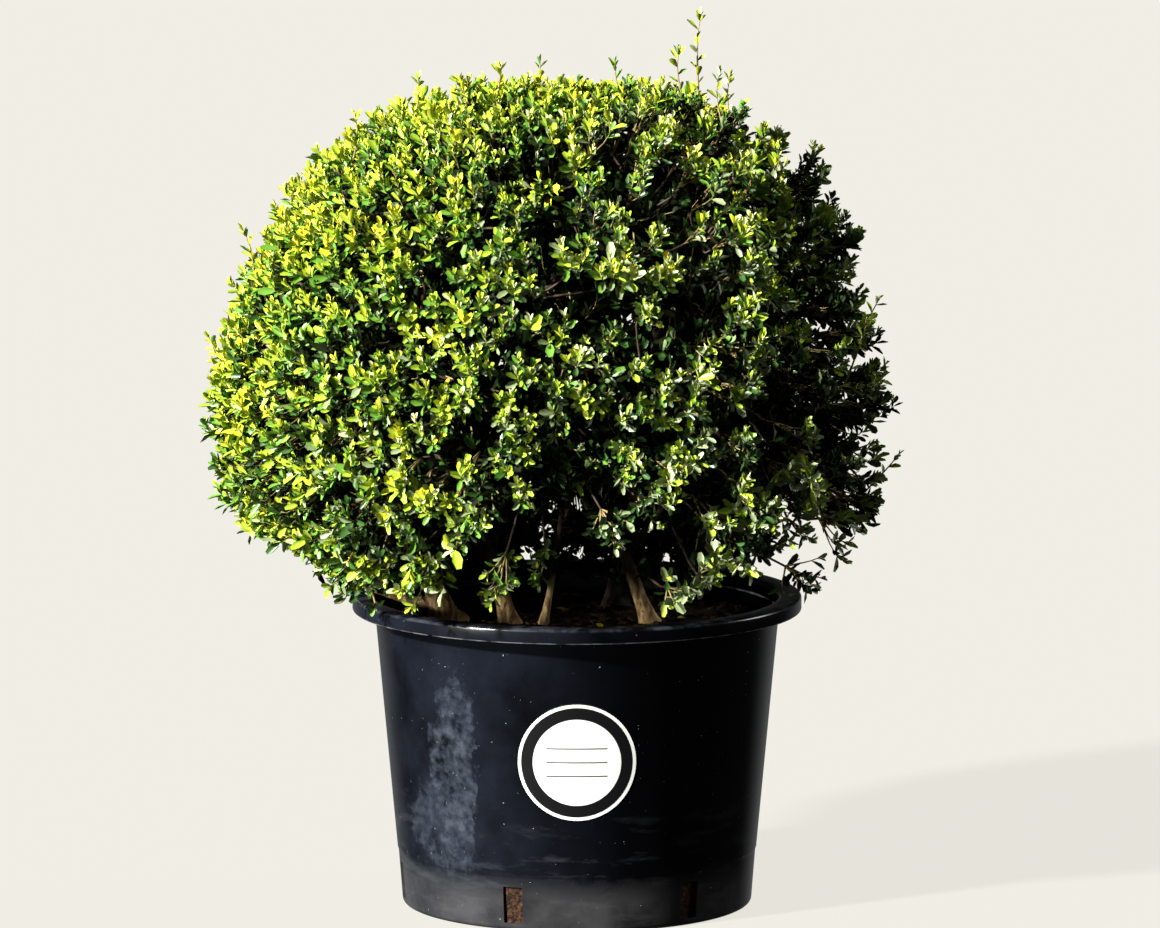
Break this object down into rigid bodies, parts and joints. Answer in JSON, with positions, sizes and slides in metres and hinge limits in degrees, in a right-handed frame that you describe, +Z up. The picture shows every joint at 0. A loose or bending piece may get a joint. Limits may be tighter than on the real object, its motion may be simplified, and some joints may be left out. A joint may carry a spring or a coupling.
{
  "type": "potted japanese holly clipped to a ball",
  "caption": "Evergreen shrub clipped to a ball on several bare stems, standing in a tapered black nursery pot with a round label and drain slots at its foot.",
  "frame": {"origin": "centre of the pot's flat underside", "axes": "+Z up through the pot, -Y towards the side with the label"},
  "size_m": [0.7089, 0.654, 0.9025],
  "materials": {
    "pot_plastic": "moulded black plastic, satin gloss, dusty and scuffed",
    "potting_mix": "coarse bark and peat compost",
    "label_paper": "white printed sticker with a dark border",
    "bark": "thin flaking bark, tan to grey-brown",
    "twig": "thin reddish-brown twigs",
    "leaf_deep": "small glossy leaves, deep blue-green",
    "leaf_green": "small glossy leaves, mid green",
    "leaf_fresh": "fresh green young leaves",
    "leaf_tip": "lime-yellow tips of new growth"
  },
  "bodies": {
    "root": {"bough_back_left": "bark", "bough_back_right": "bark", "bough_front": "bark", "bough_left": "bark", "bough_low_left": "bark", "bough_right": "bark", "bough_top": "bark", "bough_upper_back": "bark", "bough_upper_left": "bark", "bough_upper_right": "bark", "foliage_back_left": "leaf_green", "foliage_back_right": "leaf_green", "foliage_front": "leaf_green", "foliage_left": "leaf_green", "foliage_right": "leaf_green", "foliage_top": "leaf_green", "foliage_upper_back": "leaf_green", "foliage_upper_left": "leaf_green", "foliage_upper_right": "leaf_green", "label": "label_paper", "pot": "pot_plastic", "potting_mix": "potting_mix", "stem_back_left": "bark", "stem_back_right": "bark", "stem_left": "bark", "stem_middle": "bark", "stem_right": "bark", "stem_slender": "bark"}
  },
  "joints": []
}
